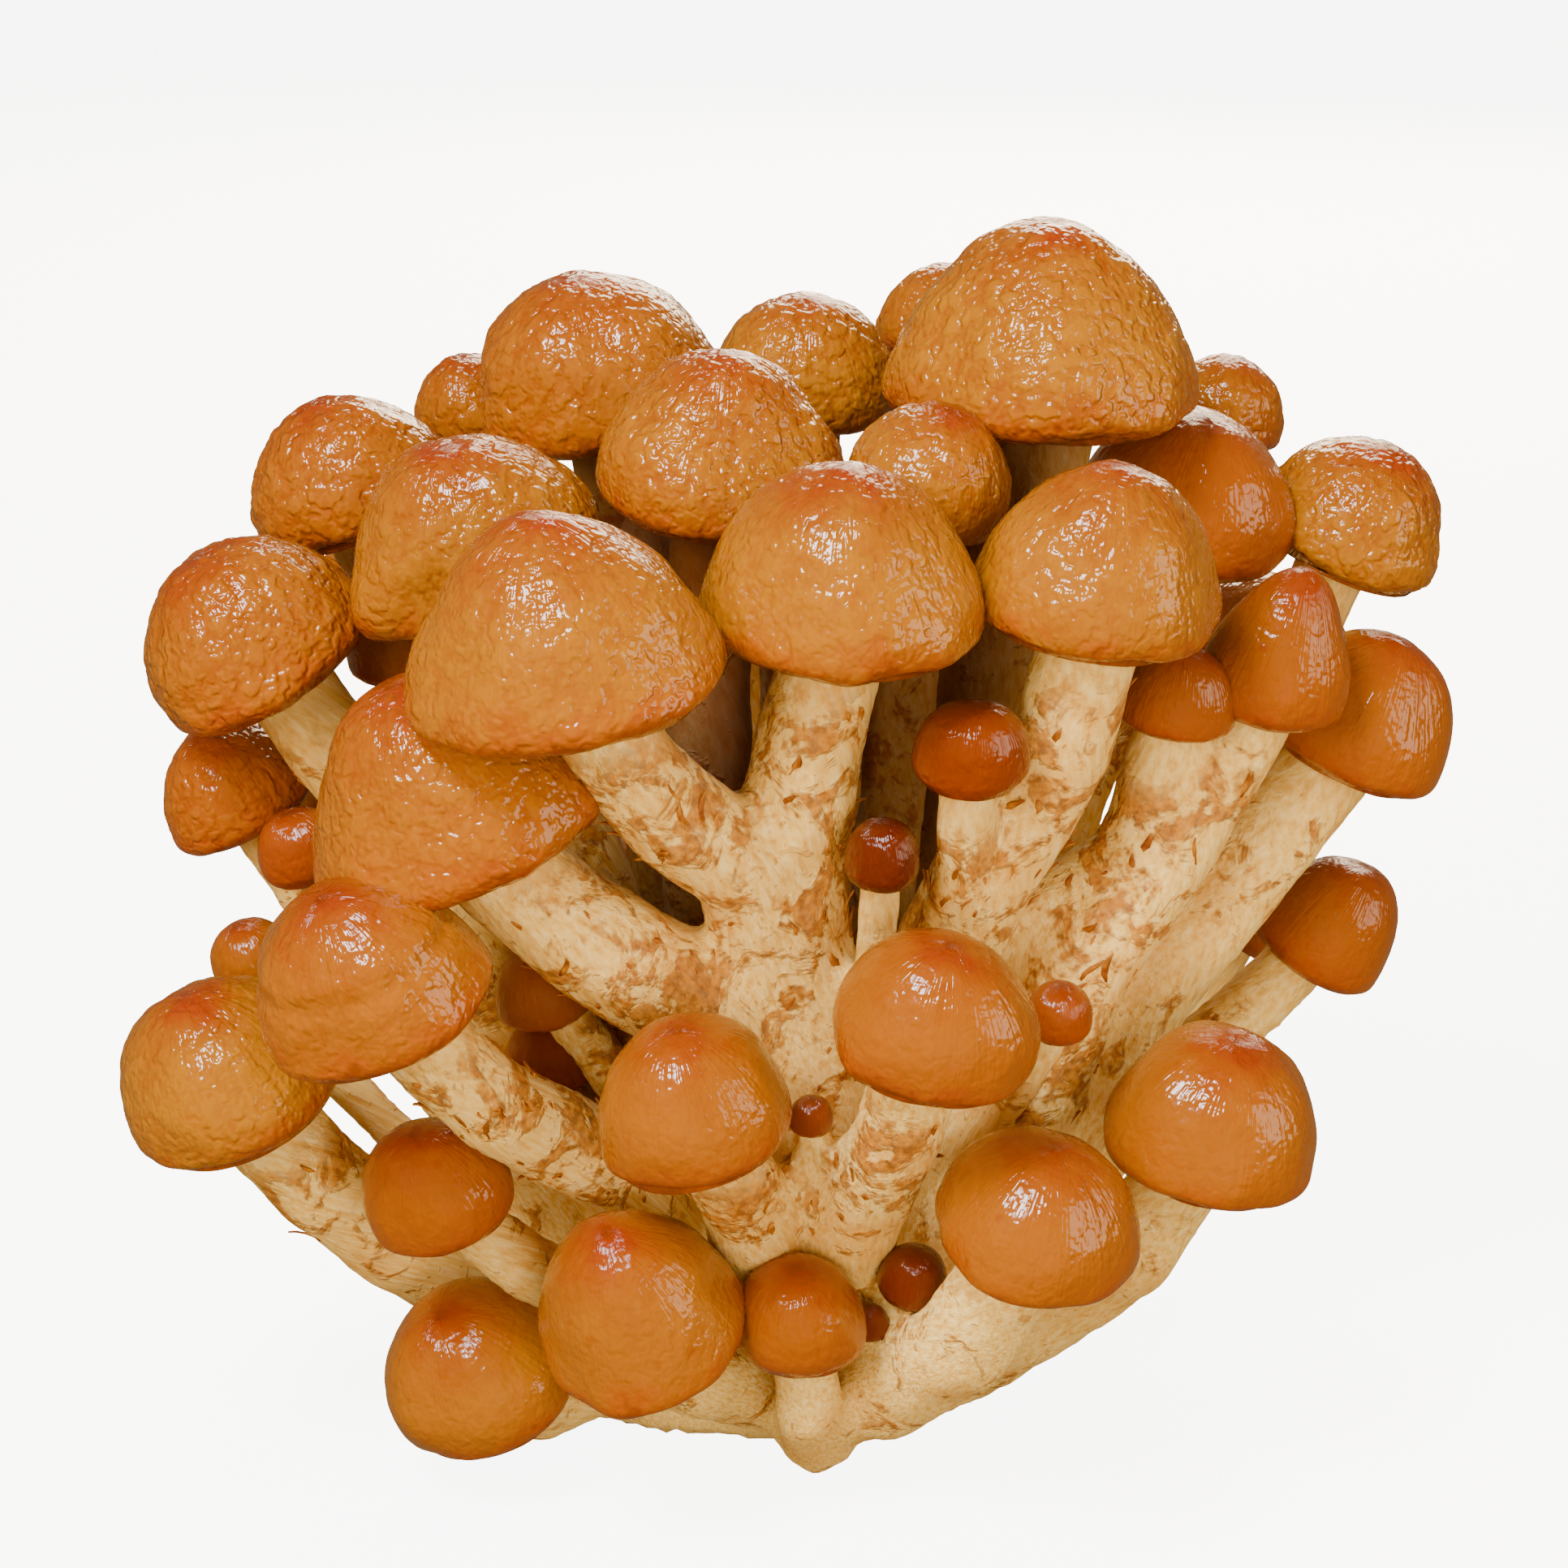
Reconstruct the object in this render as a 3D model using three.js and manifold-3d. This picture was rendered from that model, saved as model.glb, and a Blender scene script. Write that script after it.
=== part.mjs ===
// A cluster of nameko mushrooms (Pholiota microspora), grown together on one cut butt.
// Millimetres, +Z up. The origin is the middle of the flat cut face that the cluster stands on.
// +X is to the right and -Y is the front, where the widest caps open.
import * as THREE from 'three';
import { mergeVertices } from 'three/addons/utils/BufferGeometryUtils.js';
import Module from 'manifold-3d';

const wasm = await Module();
wasm.setup();

// Driving dimensions of the butt, the fused foot that was cut off flat.
const BUTT_WIDTH = 50;
const BUTT_DEPTH = 43;
const BUTT_HEIGHT = 15;
const BUTT_SIDES = 20;

// Clearance that touching pieces keep, and how far a stem runs up into its cap before it is trimmed.
const GAP = 0.3;
const STEM_INTO_CAP = 1;

// How finely the caps and stems are faceted.
const CAP_SIDES = 12;
const SMALL_SIDES = 9;
const SMALL_WIDTH = 12;
const STEM_SIDES = 8;
const THIN_SIDES = 6;
const THIN_STEM = 7;
const STEM_STEP = 15;

// A stem is this much thicker at its foot than under its cap, unless it says otherwise.
const FOOT_FLARE = 1.3;

// Half outlines of a cap as shares of its radius and height: underside, rolled margin, flank, apex.
const OUTLINES = {
  dome: [[0, 0], [0.84, -0.07], [1, 0.08], [0.94, 0.4], [0.73, 0.7], [0.4, 0.9], [0, 0.97]],
  bell: [[0, 0], [0.86, -0.07], [1, 0.06], [0.91, 0.34], [0.69, 0.64], [0.38, 0.87], [0, 0.98]],
  bud: [[0, 0], [0.8, -0.05], [1, 0.16], [0.97, 0.48], [0.78, 0.75], [0.45, 0.92], [0, 0.98]],
};

// Every mushroom: the middle of its cap's underside, the cap's width and height, how many degrees the
// cap leans to the right and to the front, and its outline. The stem gives its thickness, where its foot
// stands on the butt, and the places that it bends through on the way up.
const CROWN = [
  { cap: 'cap_crown_big', at: [24, 3, 97], width: 29, height: 17, lean: [0, 0], outline: 'bell',
    stem: { thick: 10.5, foot: [7, 1], via: [[13, 2, 50], [21, 3, 80]] } },
  { cap: 'cap_crown_left', at: [-17, 14, 93], width: 22.5, height: 14, lean: [-12, 6], outline: 'dome',
    stem: { thick: 8, foot: [-6, 6], via: [[-11, 10, 50]] } },
  { cap: 'cap_crown_dented', at: [-6, -6, 91], width: 22.5, height: 13.5, lean: [4, 8], outline: 'bell',
    stem: { thick: 8, foot: [-2, 0], via: [[-7, -4, 50], [-7, -5, 78]] } },
  { cap: 'cap_crown_middle', at: [2, 18, 93], width: 17, height: 11, lean: [2, 8], outline: 'dome',
    stem: { thick: 7, foot: [0, 8], via: [[1, 14, 50]] } },
  { cap: 'cap_crown_tilted', at: [12.5, -9.5, 90.5], width: 15, height: 9.5, lean: [16, 8], outline: 'dome',
    stem: { thick: 6, foot: [4, -2], via: [[9, -7, 50], [11, -8, 76]] } },
  { cap: 'cap_crown_behind', at: [15.5, 28, 96], width: 13, height: 8.5, lean: [4, -6], outline: 'dome',
    stem: { thick: 6, foot: [4, 11], via: [[10, 22, 55]] } },
  { cap: 'cap_crown_small', at: [-15.5, 24, 82], width: 10.5, height: 6.5, lean: [0, 4], outline: 'dome',
    stem: { thick: 5, foot: [-4, 12], via: [[-10, 20, 50]] } },
];
const BACK = [
  { cap: 'cap_right_shaded', at: [37, 7, 83], width: 20, height: 12.5, lean: [10, 8], outline: 'dome',
    stem: { thick: 7, foot: [12, 4], via: [[23, 6, 45], [33, 7, 70]] } },
  { cap: 'cap_right_behind', at: [42.5, 23, 89], width: 11.5, height: 7.5, lean: [16, 2], outline: 'dome',
    stem: { thick: 5.5, foot: [10, 11], via: [[24, 18, 50], [36, 22, 76]] } },
  { cap: 'cap_right_outer', at: [53, 10, 81], width: 18, height: 11, lean: [20, 8], outline: 'dome',
    stem: { thick: 7, foot: [15, 6], via: [[30, 8, 45], [47, 9, 67]] } },
  { cap: 'cap_back_left_high', at: [-36, 29, 70], width: 21, height: 12.5, lean: [-22, -22], outline: 'dome',
    stem: { thick: 7.5, foot: [-10, 12], via: [[-20, 20, 38]] } },
  { cap: 'cap_back_middle_high', at: [-6, 38, 75], width: 23, height: 14, lean: [-4, -22], outline: 'bell',
    stem: { thick: 8.5, foot: [-2, 14], via: [[-3, 26, 40]] } },
  { cap: 'cap_back_right_high', at: [22, 38, 72], width: 21, height: 13, lean: [8, -24], outline: 'dome',
    stem: { thick: 7.5, foot: [5, 15], via: [[12, 28, 40]] } },
  { cap: 'cap_back_right_outer', at: [47, 28, 61], width: 20, height: 12, lean: [26, -20], outline: 'dome',
    stem: { thick: 7.5, foot: [14, 11], via: [[28, 20, 32]] } },
  { cap: 'cap_back_left_outer', at: [-46, 16, 52], width: 16.5, height: 10.5, lean: [-30, -10], outline: 'dome',
    stem: { thick: 6.5, foot: [-15, 5], via: [[-33, 10, 28]] } },
  { cap: 'cap_back_left_waist', at: [-28, 39, 50], width: 19, height: 11.5, lean: [-16, -28], outline: 'dome',
    stem: { thick: 7, foot: [-10, 14], via: [[-18, 27, 28]] } },
  { cap: 'cap_back_middle_waist', at: [-2, 46, 52], width: 18.5, height: 11, lean: [0, -30], outline: 'dome',
    stem: { thick: 7, foot: [-1, 17], via: [[-1, 32, 28]] } },
  { cap: 'cap_back_right_waist', at: [27, 42, 48], width: 19, height: 11.5, lean: [14, -28], outline: 'dome',
    stem: { thick: 7, foot: [9, 15], via: [[17, 30, 27]] } },
  { cap: 'cap_back_right_low', at: [46, 24, 35], width: 17, height: 10.5, lean: [30, -18], outline: 'dome',
    stem: { thick: 6.5, foot: [16, 10], via: [[31, 18, 19]] } },
  { cap: 'cap_back_left_low', at: [-41, 27, 24], width: 17.5, height: 10.5, lean: [-30, -26], outline: 'dome',
    stem: { thick: 6.5, foot: [-15, 11], via: [[-28, 19, 13]] } },
  { cap: 'cap_back_middle_low', at: [-14, 43, 28], width: 19, height: 11.5, lean: [-8, -34], outline: 'dome',
    stem: { thick: 7, foot: [-6, 16], via: [[-10, 30, 14]] } },
  { cap: 'cap_back_foot', at: [11, 42, 23], width: 16.5, height: 10, lean: [6, -36], outline: 'dome',
    stem: { thick: 6.5, foot: [4, 17], via: [[8, 31, 12]] } },
  { cap: 'cap_back_right_foot', at: [33, 32, 20], width: 14, height: 8.5, lean: [22, -30], outline: 'dome',
    stem: { thick: 5.5, foot: [13, 14], via: [[23, 24, 11]] } },
];
const FORK = [
  { cap: 'cap_front_middle', at: [5, -26, 84.5], width: 24, height: 15, lean: [0, 5], outline: 'bell',
    stem: { thick: 9, flare: 1.7, foot: [3, -9], via: [[3, -16, 31], [1, -20, 52], [0, -22, 62], [2, -24, 72]] } },
  { cap: 'cap_front_left', at: [-18, -34, 81.5], width: 26, height: 16, lean: [-10, 6], outline: 'bell',
    stem: { thick: 9, flare: 1.5, foot: [2, -9], via: [[2, -16, 31], [0, -20, 50], [-3, -24, 61], [-10, -29, 69]] } },
  { cap: 'cap_pin_middle', at: [8.5, -29, 62.5], width: 6.5, height: 5.5, lean: [0, 6], outline: 'bud',
    stem: { thick: 3.6, foot: [4, -10], via: [[6, -17, 30], [8, -25, 52]] } },
  { cap: 'cap_left_big', at: [-28, -29, 66.5], width: 25.5, height: 15.5, lean: [-20, 8], outline: 'bell',
    stem: { thick: 10.5, foot: [-3, -10], via: [[1, -17, 33], [-5, -22, 45], [-16, -26, 55]] } },
];
const FRONT_RIGHT = [
  { cap: 'cap_front_right', at: [27, -22, 84.5], width: 21.5, height: 14, lean: [6, 7], outline: 'bell',
    stem: { thick: 9, foot: [8, -8], via: [[10, -14, 32], [14, -18, 51], [19, -20, 61], [25, -21, 73]] } },
  { cap: 'cap_small_front', at: [16, -28, 71.5], width: 10, height: 7, lean: [3, 9], outline: 'bud',
    stem: { thick: 5.2, foot: [8, -8], via: [[10, -15, 34], [14, -19, 52], [16, -25, 62]] } },
  { cap: 'cap_small_right', at: [35, -14, 72], width: 10.5, height: 7, lean: [8, 6], outline: 'dome',
    stem: { thick: 6, foot: [9, -7], via: [[13, -12, 38], [21, -13, 52], [31, -12, 58], [34, -13, 65]] } },
];
const RIGHT = [
  { cap: 'cap_right_tall', at: [44, -10, 73], width: 14, height: 13, lean: [12, 8], outline: 'bell',
    stem: { thick: 8, flare: 1.6, foot: [12, -6],
      via: [[20, -14, 29], [25, -15, 42], [29, -14, 51], [38, -12, 63]] } },
  { cap: 'cap_right_low', at: [53, -1, 64.5], width: 18, height: 12, lean: [22, 6], outline: 'dome',
    stem: { thick: 9, foot: [15, -3], via: [[28, -9, 33], [38, -6, 48], [45, -4, 56]] } },
  { cap: 'cap_right_drooping', at: [51.5, 5, 41.5], width: 14.5, height: 10.5, lean: [30, 6], outline: 'dome',
    stem: { thick: 6.5, foot: [17, 0], via: [[34, -2, 28], [42, 1, 34]] } },
  { cap: 'cap_pin_right', at: [24, -30, 48.5], width: 6, height: 4.5, lean: [6, 9], outline: 'bud',
    stem: { thick: 3.8, foot: [12, -8], via: [[16, -16, 32], [22, -26, 41]] } },
];
const FOOT = [
  { cap: 'cap_foot_right_outer', at: [38, -26, 35], width: 19.5, height: 12, lean: [12, 10], outline: 'dome',
    stem: { thick: 8, foot: [16, -9], via: [[25, -18, 15], [33, -24, 25]] } },
  { cap: 'cap_foot_right', at: [21.5, -38, 31.5], width: 18, height: 11, lean: [10, 12], outline: 'dome',
    stem: { thick: 8.8, foot: [2, -14], via: [[10, -26, 11], [16, -33, 19]] } },
  { cap: 'cap_waist_right', at: [12.5, -40, 51], width: 17.5, height: 11, lean: [8, 12], outline: 'dome',
    stem: { thick: 7.8, foot: [3, -13], via: [[5, -19, 17], [7, -28, 31]] } },
  { cap: 'cap_waist_middle', at: [-7.5, -38, 42.5], width: 17.5, height: 11, lean: [-10, 12], outline: 'dome',
    stem: { thick: 7.6, foot: [-2, -13], via: [[-2, -18.5, 17], [-3, -30, 31]] } },
  { cap: 'cap_pin_waist', at: [2.3, -31, 39.5], width: 4, height: 3, lean: [4, 8], outline: 'bud',
    stem: { thick: 3, foot: [1, -14], via: [[2, -22, 20], [2, -29, 33]] } },
  { cap: 'cap_foot_middle', at: [1.5, -32, 18.5], width: 11.5, height: 8.5, lean: [-3, 10], outline: 'bud',
    stem: { thick: 6, foot: [2, -16], via: [[3, -24, 4], [2.5, -30, 9]] } },
  { cap: 'cap_foot_left', at: [-12.5, -34, 21], width: 19, height: 13.5, lean: [-14, 22], outline: 'bell',
    stem: { thick: 7.5, foot: [-2, -14], via: [[-6, -26, 12]] } },
  { cap: 'cap_pin_foot', at: [11.5, -28, 21.5], width: 6.5, height: 5, lean: [8, 12], outline: 'bud',
    stem: { thick: 3.4, foot: [8, -14], via: [[10, -24, 15]] } },
  { cap: 'cap_pin_foot_tiny', at: [7.8, -29, 18], width: 3.6, height: 3, lean: [0, 10], outline: 'bud',
    stem: { thick: 2.4, foot: [6, -16], via: [[7, -26, 13]] } },
];
const LEFT = [
  { cap: 'cap_waist_left', at: [-34.5, -38, 54], width: 20, height: 12.5, lean: [-20, 16], outline: 'dome',
    stem: { thick: 8, foot: [-9, -9], via: [[-14, -20, 28], [-19, -27, 36], [-28, -35, 45]] } },
  { cap: 'cap_left_outer', at: [-49, -24, 38.5], width: 21, height: 12.5, lean: [-20, 8], outline: 'dome',
    stem: { thick: 9, foot: [-16, -6], via: [[-30, -9, 13], [-38, -16, 22], [-44, -22, 31]] } },
  { cap: 'cap_foot_left_small', at: [-30.5, -30, 31], width: 13.5, height: 9.5, lean: [-14, 16], outline: 'dome',
    stem: { thick: 6, foot: [-12, -9], via: [[-20, -22, 19]] } },
  { cap: 'cap_foot_left_low', at: [-27.2, -24, 9.4], width: 18, height: 11.5, lean: [-24, 22], outline: 'dome',
    stem: { thick: 7, foot: [-14, -10], via: [[-20, -17, 6.5]] } },
  { cap: 'cap_waist_left_small', at: [-21.5, -17, 45.5], width: 9.5, height: 6.5, lean: [-12, 14], outline: 'dome',
    stem: { thick: 5, foot: [-8, -8], via: [[-12, -16, 32], [-18, -16, 40]] } },
];
const LEFT_BACK = [
  { cap: 'cap_shoulder_left', at: [-27, -9, 83.5], width: 21.5, height: 14, lean: [-12, 12], outline: 'dome',
    stem: { thick: 8.5, foot: [-9, -3], via: [[-16, -8, 45], [-24, -9, 70]] } },
  { cap: 'cap_shoulder_left_outer', at: [-40, 8, 85], width: 19, height: 11.5, lean: [-20, 4], outline: 'dome',
    stem: { thick: 7.5, foot: [-11, 1], via: [[-24, 7, 45], [-36, 11, 70]] } },
  { cap: 'cap_shoulder_left_behind', at: [-30, 24, 88.5], width: 11.5, height: 8, lean: [-12, 0], outline: 'dome',
    stem: { thick: 5.5, foot: [-9, 7], via: [[-20, 16, 50]] } },
  { cap: 'cap_left_high', at: [-46.5, -9, 75], width: 21, height: 13, lean: [-28, 8], outline: 'dome',
    stem: { thick: 8.5, foot: [-13, -4], via: [[-28, -8, 45], [-39, -9, 64]] } },
  { cap: 'cap_left_hidden', at: [-35, -2, 73.5], width: 11, height: 8, lean: [-8, 8], outline: 'dome',
    stem: { thick: 5, foot: [-11, -1], via: [[-23, -1, 45], [-33, -2, 62]] } },
  { cap: 'cap_left_back', at: [-50, -5, 60], width: 14.5, height: 9, lean: [-24, 8], outline: 'dome',
    stem: { thick: 6, foot: [-15, -2], via: [[-34, -5, 36]] } },
  { cap: 'cap_left_pin', at: [-43.5, -13, 57], width: 8, height: 6, lean: [-16, 8], outline: 'bud',
    stem: { thick: 4, foot: [-15, -5], via: [[-31, -10, 35]] } },
  { cap: 'cap_left_pin_low', at: [-49, -9, 44.5], width: 8, height: 6, lean: [-18, 6], outline: 'bud',
    stem: { thick: 4, foot: [-17, -1], via: [[-36, -7, 26]] } },
  { cap: 'cap_left_dark', at: [-22, -15, 37.5], width: 8.5, height: 5.5, lean: [0, 10], outline: 'dome',
    stem: { thick: 4, foot: [-10, -6], via: [[-17, -12, 25]] } },
];
const MUSHROOMS = [
  ...FORK, ...FOOT, ...FRONT_RIGHT, ...RIGHT, ...LEFT, ...CROWN, ...LEFT_BACK, ...BACK,
];

// Cap skin is wet amber to burnt orange, and stem flesh is cream.
const CAP_LOOK = { color: 0xe08a12, roughness: 0.3, metalness: 0 };
const STEM_LOOK = { color: 0xecd3a0, roughness: 0.75, metalness: 0 };

// A closed solid from a geometry, with its shared corners merged.
function solidOf(geometry) {
  const bare = geometry.clone();
  bare.deleteAttribute('normal');
  bare.deleteAttribute('uv');
  const merged = mergeVertices(bare, 1e-4);
  return new wasm.Manifold(new wasm.Mesh({
    numProp: 3,
    vertProperties: new Float32Array(merged.attributes.position.array),
    triVerts: new Uint32Array(merged.index.array),
  }));
}

function geometryOf(solid) {
  const mesh = solid.getMesh();
  const geometry = new THREE.BufferGeometry();
  geometry.setAttribute('position', new THREE.BufferAttribute(mesh.vertProperties, 3));
  geometry.setIndex(new THREE.BufferAttribute(mesh.triVerts, 1));
  return geometry;
}

// Moves every vertex of a geometry by a function that changes a Vector3 in place.
function reshape(geometry, change) {
  const places = geometry.attributes.position;
  const v = new THREE.Vector3();
  for (let i = 0; i < places.count; i += 1) {
    v.fromBufferAttribute(places, i);
    change(v);
    places.setXYZ(i, v.x, v.y, v.z);
  }
  return geometry;
}

// The way a cap faces, from its lean to the right and to the front.
function facing([right, front]) {
  const slope = THREE.MathUtils.degToRad;
  return new THREE.Vector3(Math.tan(slope(right)), -Math.tan(slope(front)), 1).normalize();
}

// A cap about its own +Z axis: a lathe whose rim is pushed in and out a little, as it grew.
function capGeometry({ width, height, outline, at }) {
  const profile = OUTLINES[outline].map(([r, h]) => new THREE.Vector2((r * width) / 2, h * height));
  const sides = width < SMALL_WIDTH ? SMALL_SIDES : CAP_SIDES;
  const phase = at[0] + at[2];
  const geometry = new THREE.LatheGeometry(profile, sides).rotateX(Math.PI / 2);
  return reshape(geometry, (v) => {
    const turn = Math.atan2(v.y, v.x);
    const swell = 1 + 0.03 * Math.cos(2 * turn + phase) + 0.018 * Math.cos(3 * turn + 2 * phase);
    v.x *= swell;
    v.y *= swell;
  });
}

function place(object, { at, lean }) {
  object.position.set(...at);
  object.quaternion.setFromUnitVectors(new THREE.Vector3(0, 0, 1), facing(lean));
  object.updateMatrixWorld();
  return object;
}

// A cap's solid where it stands, a little larger all round by grow.
function capSolid(mushroom, grow = 0) {
  const holder = place(new THREE.Object3D(), mushroom);
  const share = 1 + (2 * grow) / mushroom.height;
  holder.scale.setScalar(share);
  holder.position.addScaledVector(facing(mushroom.lean), -grow);
  holder.updateMatrixWorld();
  return solidOf(capGeometry(mushroom).applyMatrix4(holder.matrixWorld));
}

// A stem: a tapered lathe, closed at both ends, bent along its route from the butt up into its cap.
function stemSolid({ at, lean, height, stem }) {
  const up = facing(lean);
  const top = new THREE.Vector3(...at);
  const route = [
    new THREE.Vector3(stem.foot[0], stem.foot[1], BUTT_HEIGHT * 0.3),
    ...stem.via.map((point) => new THREE.Vector3(...point)),
    top.clone().addScaledVector(up, -height * 0.35),
    top.clone().addScaledVector(up, STEM_INTO_CAP),
  ];
  const curve = new THREE.CatmullRomCurve3(route, false, 'centripetal');
  const steps = Math.max(3, Math.round(curve.getLength() / STEM_STEP));
  const frames = curve.computeFrenetFrames(steps);
  const profile = [new THREE.Vector2(0, 0)];
  for (let i = 0; i <= steps; i += 1) {
    const flare = 1 + ((stem.flare ?? FOOT_FLARE) - 1) * (1 - i / steps) ** 1.3;
    profile.push(new THREE.Vector2((stem.thick / 2) * flare, i));
  }
  profile.push(new THREE.Vector2(0, steps));
  const sides = stem.thick < THIN_STEM ? THIN_SIDES : STEM_SIDES;
  return solidOf(reshape(new THREE.LatheGeometry(profile, sides), (v) => {
    const step = Math.round(v.y);
    const middle = curve.getPointAt(step / steps);
    const { x, z } = v;
    v.copy(middle).addScaledVector(frames.normals[step], z).addScaledVector(frames.binormals[step], x);
  }));
}

// The butt: a low lumpy cushion of fused flesh with a flat cut face below.
function buttSolid() {
  const outline = [[0, 0], [0.8, 0], [0.95, 0.12], [1, 0.35], [0.9, 0.68], [0.62, 0.93], [0, 1]];
  const profile = outline.map(([r, h]) => new THREE.Vector2(r, h));
  const geometry = new THREE.LatheGeometry(profile, BUTT_SIDES).rotateX(Math.PI / 2);
  return solidOf(reshape(geometry, (v) => {
    const turn = Math.atan2(v.y, v.x);
    const lump = 1 + 0.05 * Math.cos(3 * turn + 1) + 0.035 * Math.cos(5 * turn);
    v.x *= (BUTT_WIDTH / 2) * lump;
    v.y *= (BUTT_DEPTH / 2) * lump;
    v.z *= BUTT_HEIGHT;
  }));
}

function joined(solids) {
  return solids.reduce((sum, solid) => sum.add(solid));
}

// Trimming can leave crumbs: only the body that they came off is kept.
function largestBody(solid) {
  return solid.decompose().reduce((most, body) => (body.volume() > most.volume() ? body : most));
}

function meshOf(name, geometry, look) {
  const mesh = new THREE.Mesh(geometry, new THREE.MeshStandardMaterial(look));
  mesh.name = name;
  return mesh;
}

const cluster = new THREE.Group();
cluster.name = 'nameko_cluster';

// Caps that crowd each other are pressed flat where they meet: each later cap gives way.
const grownCaps = [];
for (const mushroom of MUSHROOMS) {
  const whole = capSolid(mushroom);
  const crowding = grownCaps.filter((other) => whole.intersect(other).volume() > 0);
  if (crowding.length === 0) {
    cluster.add(place(meshOf(mushroom.cap, capGeometry(mushroom), CAP_LOOK), mushroom));
  } else {
    const pressed = largestBody(whole.subtract(joined(crowding)));
    cluster.add(meshOf(mushroom.cap, geometryOf(pressed), CAP_LOOK));
  }
  grownCaps.push(capSolid(mushroom, GAP));
}

// The stems and the butt are one growth, trimmed clear of the caps.
const growth = joined([buttSolid(), ...MUSHROOMS.map(stemSolid)]);
cluster.add(meshOf('stems', geometryOf(largestBody(growth.subtract(joined(grownCaps)))), STEM_LOOK));

export default cluster;
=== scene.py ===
# A cluster of nameko mushrooms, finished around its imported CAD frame.
import math
import random

import bmesh
import bpy
import numpy as np
from mathutils import Matrix, Vector, noise


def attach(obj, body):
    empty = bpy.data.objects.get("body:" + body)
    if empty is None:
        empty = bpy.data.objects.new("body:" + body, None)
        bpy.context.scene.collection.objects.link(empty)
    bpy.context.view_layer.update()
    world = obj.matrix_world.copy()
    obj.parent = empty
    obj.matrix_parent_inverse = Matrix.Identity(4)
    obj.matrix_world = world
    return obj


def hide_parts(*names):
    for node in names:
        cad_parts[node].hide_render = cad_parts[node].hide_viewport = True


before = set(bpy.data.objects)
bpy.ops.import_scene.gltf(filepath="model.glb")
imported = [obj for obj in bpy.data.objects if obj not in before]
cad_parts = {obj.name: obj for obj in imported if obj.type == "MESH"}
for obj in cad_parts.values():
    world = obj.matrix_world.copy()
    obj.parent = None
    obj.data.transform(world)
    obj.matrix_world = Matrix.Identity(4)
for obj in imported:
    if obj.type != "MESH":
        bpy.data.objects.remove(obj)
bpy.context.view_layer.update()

# ---------------------------------------------------------------------------------------------
# Camera, floor and light. The cluster stands on a plain white sweep in soft studio light: one
# large panel high at the front left, a lower one at the right, and a bright room all round.
# ---------------------------------------------------------------------------------------------
MM = 0.001
scene = bpy.context.scene


def linear(code):
    """An sRGB hex colour as linear RGBA."""
    parts = [int(code[i:i + 2], 16) / 255 for i in (0, 2, 4)]
    return (*[c / 12.92 if c <= 0.04045 else ((c + 0.055) / 1.055) ** 2.4 for c in parts], 1.0)


def add(tree, kind, settings=None, **links):
    """Adds a node, sets its properties and its inputs, and links those inputs given as sockets."""
    node = tree.nodes.new(kind)
    for name, value in (settings or {}).items():
        setattr(node, name, value)
    for name, value in links.items():
        key = int(name[1:]) if name[1:].isdigit() else name.replace("_", " ")
        socket = node.inputs[key]
        if isinstance(value, bpy.types.NodeSocket):
            tree.links.new(value, socket)
        else:
            socket.default_value = value
    return node


camera = bpy.data.objects.new("camera", bpy.data.cameras.new("camera"))
scene.collection.objects.link(camera)
scene.camera = camera
CAMERA_TILT = math.radians(20)
CAMERA_DISTANCE = 0.35
CAMERA_AIM = Vector((0, 0, 0.0605))
camera.data.lens = 85
camera.data.sensor_width = 36
camera.location = CAMERA_AIM + CAMERA_DISTANCE * Vector((0, -math.cos(CAMERA_TILT), math.sin(CAMERA_TILT)))
camera.rotation_euler = (math.pi / 2 - CAMERA_TILT, 0, 0)

# White paper that is lit from below as well, as on a light table. It throws no light back on the
# cluster, so that the panels alone shape it.
paper = bpy.data.materials.new("white_paper_sweep")
paper.use_nodes = True
sheet = paper.node_tree.nodes["Principled BSDF"]
sheet.inputs["Base Color"].default_value = linear("F2F1EF")
sheet.inputs["Roughness"].default_value = 0.9
sheet.inputs["Emission Color"].default_value = linear("FFFFFF")
sheet.inputs["Emission Strength"].default_value = 7.0
for name, shape in (("floor", "create_grid"), ("backdrop", "create_uvsphere")):
    form = bmesh.new()
    if name == "floor":
        bmesh.ops.create_grid(form, x_segments=1, y_segments=1, size=2.5)
    else:
        bmesh.ops.create_uvsphere(form, u_segments=48, v_segments=24, radius=3)
    stage = bpy.data.objects.new(name, bpy.data.meshes.new(name))
    form.to_mesh(stage.data)
    form.free()
    stage.data.materials.append(paper)
    stage.visible_diffuse = False
    stage.visible_glossy = False
    stage.visible_shadow = False
    scene.collection.objects.link(stage)

world = bpy.data.worlds.new("bright_room")
scene.world = world
world.use_nodes = True
room = world.node_tree.nodes["Background"]
room.inputs["Color"].default_value = linear("FFD69C")
room.inputs["Strength"].default_value = 0.3


def softbox(name, place, size, power, tint, mirrored=True):
    """A square studio panel that faces the cluster. One that isn't mirrored gives no highlight."""
    light = bpy.data.lights.new(name, "AREA")
    light.shape = "RECTANGLE"
    light.size = size
    light.size_y = size
    light.energy = power
    light.color = linear(tint)[:3]
    lamp = bpy.data.objects.new(name, light)
    lamp.location = place
    lamp.rotation_euler = (Vector(place) - CAMERA_AIM).to_track_quat("Z", "Y").to_euler()
    lamp.visible_camera = False
    lamp.visible_glossy = mirrored
    scene.collection.objects.link(lamp)


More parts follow.
